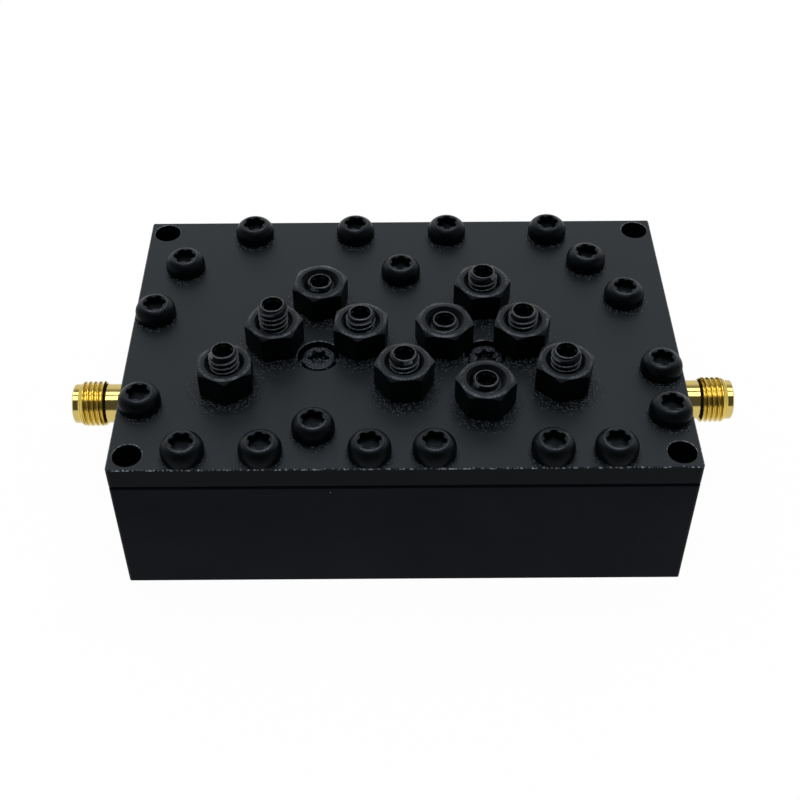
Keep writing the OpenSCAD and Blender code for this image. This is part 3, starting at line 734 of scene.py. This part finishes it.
# Painted light: the thread's gold is painted a deeper yellow than the plain gold, standing in for light
# bouncing between the flanks
thread_gold_painted_bounce = metal(
    "hard_gold_on_thread_painted_bounce", light="#dfc668", dark="#cdb152", rough_low=0.18, rough_high=0.26,
    mark_mm=0.25, depth_mm=0.003)
silver = metal(
    "silver_plate", light="#e2e3e0", dark="#c9cac6", rough_low=0.22, rough_high=0.34,
    mark_mm=0.3, depth_mm=0.004)
steel = metal(
    "plain_steel", light="#a3a5a8", dark="#85878a", rough_low=0.28, rough_high=0.42,
    mark_mm=0.3, depth_mm=0.006)
copper = metal(
    "tinned_copper", light="#cdb096", dark="#b0886a", rough_low=0.25, rough_high=0.4,
    mark_mm=0.3, depth_mm=0.006)
insulator_white = white_fluoropolymer()
cad_finish = {
    "housing": housing_paint, "lid": lid_paint, "resonator_screws": steel,
    "left_jack_insulator": insulator_white, "right_jack_insulator": insulator_white,
    "left_jack_contact": gold, "right_jack_contact": gold,
    "left_tap_wire": copper, "right_tap_wire": copper,
}
for number in range(1, 6):
    cad_finish[f"resonator_{number}"] = silver
for node, material in cad_finish.items():
    for holder in frame["nodes"][node].material_slots:
        holder.material = material


# Tuning screws, with their thread, on their own bodies

def tuning_screw():
    """A headless screw with its lower end on the origin: thread, tapered ends, and a thin crowned ring
    round a sunk socket."""
    ring = [(TUNER_RIM_R + out * MM, tuner_len - down * MM) for out, down in TUNER_RING]
    ground = ring[-1][1]
    screw = threaded(tuner_r, TUNER_ROOT_R, TUNER_PITCH, 0, tuner_len, ROUNDED_TOOTH)
    blank = turned([
        (0, 0), (tuner_r - TUNER_BEVEL, 0), (tuner_r, TUNER_TAPER), (tuner_r, tuner_len - TUNER_LEAD),
        *ring, (0, ground)])
    combine(screw, blank, "INTERSECT")
    punch = six_lobe_punch(TUNER_SOCKET, TUNER_WAIST, tuner_len - TUNER_SOCKET_DEPTH, tuner_len + MM)
    combine(screw, punch, "DIFFERENCE")

    def rubbed(point):
        radius = point.xy.length
        on_ring = point.z > tuner_len - TUNER_RUBBED_DOWN and radius > TUNER_RIM_R - TUNER_RUBBED_IN
        return on_ring or radius > tuner_r - TUNER_CREST

    paint_on(screw, fastener_paint, crest_paint, rubbed)
    return screw


model = tuning_screw()
for turn, name in enumerate(tuner_names):
    foot = Vector((middle(name).x, middle(name).y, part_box(name)[0].z))
    piece = copy_to(model, foot, turn=TUNER_TURN_STEP * turn)
    piece.name = name + "_threaded"
    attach(piece, name)
    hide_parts(name)
bpy.data.objects.remove(model)


# Lock nuts

def lock_nut():
    """A hexagon nut standing on the origin: bevelled on both faces, crowned at the upper rim and sunk at
    both bore ends."""
    corner_r = NUT_FLATS / 2 / math.cos(math.radians(30))
    face_r = NUT_FACE / 2
    far_r = corner_r + MM
    fall = (far_r - face_r) * NUT_SLOPE
    crown = [(face_r + out * MM, nut_h - down * MM) for out, down in NUT_CROWN]
    nut = begin(
        bpy.ops.mesh.primitive_cylinder_add, vertices=6, radius=corner_r, depth=nut_h,
        location=(0, 0, nut_h / 2), rotation=(0, 0, math.radians(30)))
    bpy.ops.object.transform_apply()
    bpy.ops.object.mode_set(mode="EDIT")
    pick("EDGE", lambda point: True)
    bpy.ops.mesh.bevel(offset=NUT_ROUNDING, offset_type="OFFSET", segments=2, profile=0.5)
    bpy.ops.object.mode_set(mode="OBJECT")
    rounded = turned([
        (0, 0), (face_r, 0), (far_r, fall), (far_r, nut_h - fall), *crown, (0, nut_h)])
    combine(nut, rounded, "INTERSECT")
    sink = (NUT_SINK - NUT_BORE) / 2
    bore = turned([
        (0, -MM), (NUT_SINK / 2 + MM, -MM), (NUT_BORE / 2, sink), (NUT_BORE / 2, nut_h - sink),
        (NUT_SINK / 2 + MM, nut_h + MM), (0, nut_h + MM)])
    combine(nut, bore, "DIFFERENCE")
    paint_on(
        nut, fastener_paint, rim_paint,
        lambda point: point.z > nut_h - NUT_RUBBED_DOWN and point.xy.length > face_r - NUT_RUBBED_IN)
    return nut


model = lock_nut()
nuts = [
    copy_to(model, Vector((middle(name).x, middle(name).y, lid_top)), turn=NUT_TURN[name])
    for name in tuner_names]
bpy.data.objects.remove(model)
nuts = join(nuts, "lock_nuts_painted")
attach(nuts, "filter_body")
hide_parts("lock_nuts")


# Lid screws and the two sunk screws

def dome(head_r, head_h, rounding, inner_r):
    """Outline of a rounded head edge, from the inner radius out and down to the straight side."""
    points = []
    for step in range(DOME_STEPS + 1):
        radius = inner_r + (head_r - inner_r) * math.sin(math.pi / 2 * step / DOME_STEPS)
        across = min(max(radius - (head_r - rounding), 0), rounding)
        points.append((radius, head_h - rounding + math.sqrt(rounding ** 2 - across ** 2)))
    return points


def headed_screw(
        paint, head_r, head_h, rounding, socket, waist, socket_depth, soft_mouth, shank_r, shank_len):
    """A screw with the underside of its head on the origin: rounded head with a rubbed rim round its flat
    top, six-lobe socket with a soft or sharp mouth, and a shank."""
    mouth_r = socket / 2
    edge = dome(head_r, head_h, rounding, mouth_r + SOCKET_LAND)
    flat_r, crown = edge[0]
    rim_r = edge[1][0]
    # The outline has one point at the end of the flat top and none along it, so that the socket is cut in
    # the same way each time
    flat_end = max(point for point in edge if point[1] == crown)
    side = [point for point in edge if point[1] < crown]
    screw = turned([
        (0, -shank_len), ((1 - SHANK_POINT) * shank_r, -shank_len),
        (shank_r, SHANK_POINT * shank_r - shank_len), (shank_r, 0), (head_r - HEAD_BEVEL, 0),
        (head_r, HEAD_BEVEL), *reversed(side), flat_end, (0, crown)])
    punch = six_lobe_punch(socket, waist, crown - socket_depth, crown + MM)
    combine(screw, punch, "DIFFERENCE")
    if soft_mouth:
        bpy.ops.object.mode_set(mode="EDIT")
        pick(
            "EDGE", lambda point: point.z > crown - NEAR and point.xy.length < mouth_r + MOUTH_SLACK,
            sharp=MOUTH_SHARP)
        bpy.ops.mesh.bevel(offset=MOUTH_BEVEL, offset_type="OFFSET", segments=3, profile=0.5)
        bpy.ops.object.mode_set(mode="OBJECT")
    paint_on(
        screw, paint, rim_paint,
        lambda point: point.z > head_h / 2 and flat_r - NEAR < point.xy.length < rim_r + NEAR)
    return screw


def set_screws(model, node, height, name):
    """Copies a screw to each solid of a CAD node, each at another turn, as one piece."""
    screws = [
        copy_to(model, place + UP * height, turn=SCREW_TURN_STEP * turn)
        for turn, place in enumerate(solids_of(node))]
    bpy.data.objects.remove(model)
    piece = join(screws, name)
    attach(piece, "filter_body")
    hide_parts(node)


set_screws(
    headed_screw(
        head_paint, LID_HEAD_R, LID_HEAD_H, LID_HEAD_ROUND, LID_SOCKET, LID_WAIST, LID_SOCKET_DEPTH,
        soft_mouth=True, shank_r=LID_SHANK_R, shank_len=LID_SHANK_LEN),
    "lid_screws", lid_top, "lid_screws_painted")
web_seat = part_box("web_screws")[1].z - WEB_HEAD_H
set_screws(
    headed_screw(
        grainy_paint, WEB_HEAD_R, WEB_HEAD_H, WEB_HEAD_ROUND, WEB_SOCKET, WEB_WAIST, WEB_SOCKET_DEPTH,
        soft_mouth=False, shank_r=WEB_SHANK_R, shank_len=WEB_SHANK_LEN),
    "web_screws", web_seat, "web_screws_painted")


# Jack shells, with their thread

def jack_shell():
    """A jack shell along Z with the side wall at the origin: neck, thread between two cones, and nose."""
    reach = shell_high.x - wall_x
    seat = shell_low.x - wall_x
    mouth = reach - JACK_MOUTH_DEPTH
    shell = turned([
        (0, seat), (JACK_NECK_R, seat), (JACK_NECK_R, JACK_THREAD_FROM),
        (JACK_CONE_R, JACK_THREAD_FROM + JACK_BACK), (JACK_CORE_R, JACK_THREAD_FROM + JACK_BACK),
        (JACK_CORE_R, JACK_THREAD_TO - JACK_LEAD), (JACK_CONE_R, JACK_THREAD_TO - JACK_LEAD),
        (JACK_NECK_R, JACK_THREAD_TO), (JACK_NECK_R, reach - JACK_NOSE_BEVEL),
        (JACK_NECK_R - JACK_NOSE_BEVEL, reach), (0, reach)])
    thread = threaded(
        JACK_THREAD_R, JACK_ROOT_R, JACK_PITCH, JACK_THREAD_FROM, JACK_THREAD_TO, CUT_TOOTH)
    blank = turned([
        (0, JACK_THREAD_FROM), (JACK_NECK_R, JACK_THREAD_FROM),
        (JACK_THREAD_R, JACK_THREAD_FROM + JACK_BACK), (JACK_THREAD_R, JACK_THREAD_TO - JACK_LEAD),
        (JACK_NECK_R, JACK_THREAD_TO), (0, JACK_THREAD_TO)])
    combine(thread, blank, "INTERSECT")
    combine(shell, thread, "UNION")
    bore = turned([
        (0, seat - MM), (JACK_BORE_R, seat - MM), (JACK_BORE_R, mouth), (JACK_MOUTH_R, mouth),
        (JACK_MOUTH_R, reach + MM), (0, reach + MM)])
    combine(shell, bore, "DIFFERENCE")
    # The thread takes the gold with the painted bounce light
    paint_on(
        shell, gold, thread_gold_painted_bounce,
        lambda point: point.xy.length > JACK_CORE_R + JACK_CORE_SLACK
        and JACK_THREAD_FROM - NEAR < point.z < JACK_THREAD_TO + NEAR)
    return shell


model = jack_shell()
for side, direction in (("left", -1), ("right", 1)):
    piece = copy_to(model, Vector(), turn=JACK_TURN[side])
    piece.name = side + "_jack_shell_threaded"
    piece.rotation_euler = (0, direction * math.pi / 2, 0)
    piece.location = (direction * wall_x, jack_axis.y, jack_axis.z)
    bpy.ops.object.transform_apply()
    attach(piece, "filter_body")
    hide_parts(side + "_jack_shell")
bpy.data.objects.remove(model)


# Floor, light and camera

FLOOR_SIDE = 8.0
FLOOR_DROP = 0.02 * MM
# How much of the paper's own white the eye sees in place of light and shadow on it
FLOOR_WHITE = 0.97
floor = begin(bpy.ops.mesh.primitive_plane_add, size=FLOOR_SIDE, location=(0, 0, -FLOOR_DROP))
floor.name = "floor"


def pale_floor_paper():
    """White studio paper. It looks white to the eye and in reflections, and keeps a soft shadow."""
    material = bpy.data.materials.new("pale_floor_paper")
    material.use_nodes = True
    tree = material.node_tree
    tree.nodes.remove(tree.nodes["Principled BSDF"])
    paper = add(tree, "ShaderNodeBsdfDiffuse", {"Color": linear("#fafafa")})
    white = add(tree, "ShaderNodeEmission", {"Color": (1, 1, 1, 1), "Strength": 1.0})
    ray = add(tree, "ShaderNodeLightPath")
    seen = add(
        tree, "ShaderNodeMath", {0: ray["Is Camera Ray"], 1: ray["Is Glossy Ray"]},
        operation="MAXIMUM")
    shown = add(
        tree, "ShaderNodeMath", {0: seen[0], 1: ray["Is Transmission Ray"]},
        operation="MAXIMUM")
    share = add(tree, "ShaderNodeMath", {0: shown[0], 1: FLOOR_WHITE}, operation="MULTIPLY")
    mixed = add(tree, "ShaderNodeMixShader", {0: share[0], 1: paper[0], 2: white[0]})
    tree.links.new(mixed[0], tree.nodes["Material Output"].inputs["Surface"])
    return material


floor.data.materials.append(pale_floor_paper())

# Light levels of the studio: back wall below and above, wall behind the camera, sides, and skirting
BACK_LOW = 1.0
BACK_HIGH = 0.18
FRONT_LEVEL = 0.11
SIDE_LEVEL = 0.85
HORIZON_LEVEL = 0.8
# Where one level passes into the next, as parts of a direction along Z, Y, X and Z
BACK_FADE = (0.5, 0.85)
FRONT_FADE = (-0.35, 0.5)
SIDE_FADE = (0.45, 0.8)
SKIRTING_FADE = (0.06, 0.14)


def studio_world():
    """A studio with a back wall that is bright below, bright sides, a dim wall behind the camera and a pale
    skirting."""
    world = bpy.data.worlds.new("studio")
    world.use_nodes = True
    bpy.context.scene.world = world
    tree = world.node_tree
    axes = add(tree, "ShaderNodeSeparateXYZ", {
        "Vector": add(tree, "ShaderNodeTexCoord")["Generated"]})
    wall = add(
        tree, "ShaderNodeMapRange", {
            "Value": axes["Z"], "From Min": BACK_FADE[0], "From Max": BACK_FADE[1],
            "To Min": BACK_LOW, "To Max": BACK_HIGH})
    depth = add(
        tree, "ShaderNodeMapRange", {
            "Value": axes["Y"], "From Min": FRONT_FADE[0], "From Max": FRONT_FADE[1],
            "To Min": 0.0, "To Max": 1.0}, interpolation_type="SMOOTHSTEP")
    room = add(
        tree, "ShaderNodeMix", {
            "Factor": depth["Result"], "A": FRONT_LEVEL, "B": wall["Result"]})
    sideways = add(tree, "ShaderNodeMath", {0: axes["X"]}, operation="ABSOLUTE")
    aside = add(
        tree, "ShaderNodeMapRange", {
            "Value": sideways[0], "From Min": SIDE_FADE[0], "From Max": SIDE_FADE[1],
            "To Min": 0.0, "To Max": 1.0}, interpolation_type="SMOOTHSTEP")
    walls = add(
        tree, "ShaderNodeMix", {
            "Factor": aside["Result"], "A": room["Result"], "B": SIDE_LEVEL})
    skirting = add(
        tree, "ShaderNodeMapRange", {
            "Value": axes["Z"], "From Min": SKIRTING_FADE[0], "From Max": SKIRTING_FADE[1],
            "To Min": 1.0, "To Max": 0.0}, interpolation_type="SMOOTHSTEP")
    level = add(
        tree, "ShaderNodeMix", {
            "Factor": skirting["Result"], "A": walls["Result"], "B": HORIZON_LEVEL})
    # The eye sees plain white past the end of the floor
    seen = add(
        tree, "ShaderNodeMix", {
            "Factor": add(tree, "ShaderNodeLightPath")["Is Camera Ray"], "A": level["Result"], "B": 1.0})
    tree.links.new(seen["Result"], tree.nodes["Background"].inputs["Strength"])
    tree.nodes["Background"].inputs["Color"].default_value = (1, 1, 1, 1)


studio_world()

# Strip lamps: distance from the part, length, and brightness
LAMP_DISTANCE = 0.6
LAMP_LENGTH = 0.5
LAMP_LEVEL = 3.2


def strip_lamp(name, rise, spread):
    """A long soft lamp overhead. The rise is its angle up from the back horizon and the spread its width
    as the part sees it, both in degrees."""
    width = 2 * LAMP_DISTANCE * math.tan(math.radians(spread / 2))
    angle = math.radians(rise)
    towards = Vector((0, math.cos(angle), math.sin(angle)))
    bpy.ops.object.light_add(type="AREA", location=towards * LAMP_DISTANCE)
    lamp = bpy.context.active_object
    lamp.name = name
    lamp.rotation_euler = towards.to_track_quat("Z", "Y").to_euler()
    lamp.data.shape = "RECTANGLE"
    lamp.data.size = LAMP_LENGTH
    lamp.data.size_y = width
    lamp.data.energy = LAMP_LEVEL * math.pi * LAMP_LENGTH * width


strip_lamp("back_strip", rise=73, spread=18)
strip_lamp("front_strip", rise=102, spread=24)

# The photograph's camera: picture side, focal length and picture centre in pixels, place, and angles in
# radians
IMAGE_SIDE = 800
FOCAL_PX = 1325.6
CENTRE_PX = (389.2, 368.2)
CAMERA_AT = Vector((-1.66, -134.87, 146.72)) * MM
CAMERA_YAW = -0.00163
CAMERA_PITCH = 0.76949
CAMERA_ROLL = -0.00781
SENSOR_MM = 36
CLIP_START = 5 * MM


def photo_camera():
    """The camera at the photograph's own place, angle and framing."""
    forward = Vector((
        math.sin(CAMERA_YAW) * math.cos(CAMERA_PITCH),
        math.cos(CAMERA_YAW) * math.cos(CAMERA_PITCH), -math.sin(CAMERA_PITCH)))
    level = Vector((math.cos(CAMERA_YAW), -math.sin(CAMERA_YAW), 0))
    steep = level.cross(forward)
    right = math.cos(CAMERA_ROLL) * level + math.sin(CAMERA_ROLL) * steep
    up = math.cos(CAMERA_ROLL) * steep - math.sin(CAMERA_ROLL) * level
    bpy.ops.object.camera_add()
    camera = bpy.context.active_object
    camera.matrix_world = Matrix((
        (right.x, up.x, -forward.x, CAMERA_AT.x),
        (right.y, up.y, -forward.y, CAMERA_AT.y),
        (right.z, up.z, -forward.z, CAMERA_AT.z),
        (0, 0, 0, 1)))
    camera.data.sensor_width = SENSOR_MM
    camera.data.lens = FOCAL_PX / IMAGE_SIDE * SENSOR_MM
    camera.data.shift_x = (IMAGE_SIDE / 2 - CENTRE_PX[0]) / IMAGE_SIDE
    camera.data.shift_y = (CENTRE_PX[1] - IMAGE_SIDE / 2) / IMAGE_SIDE
    camera.data.clip_start = CLIP_START
    bpy.context.scene.camera = camera


photo_camera()
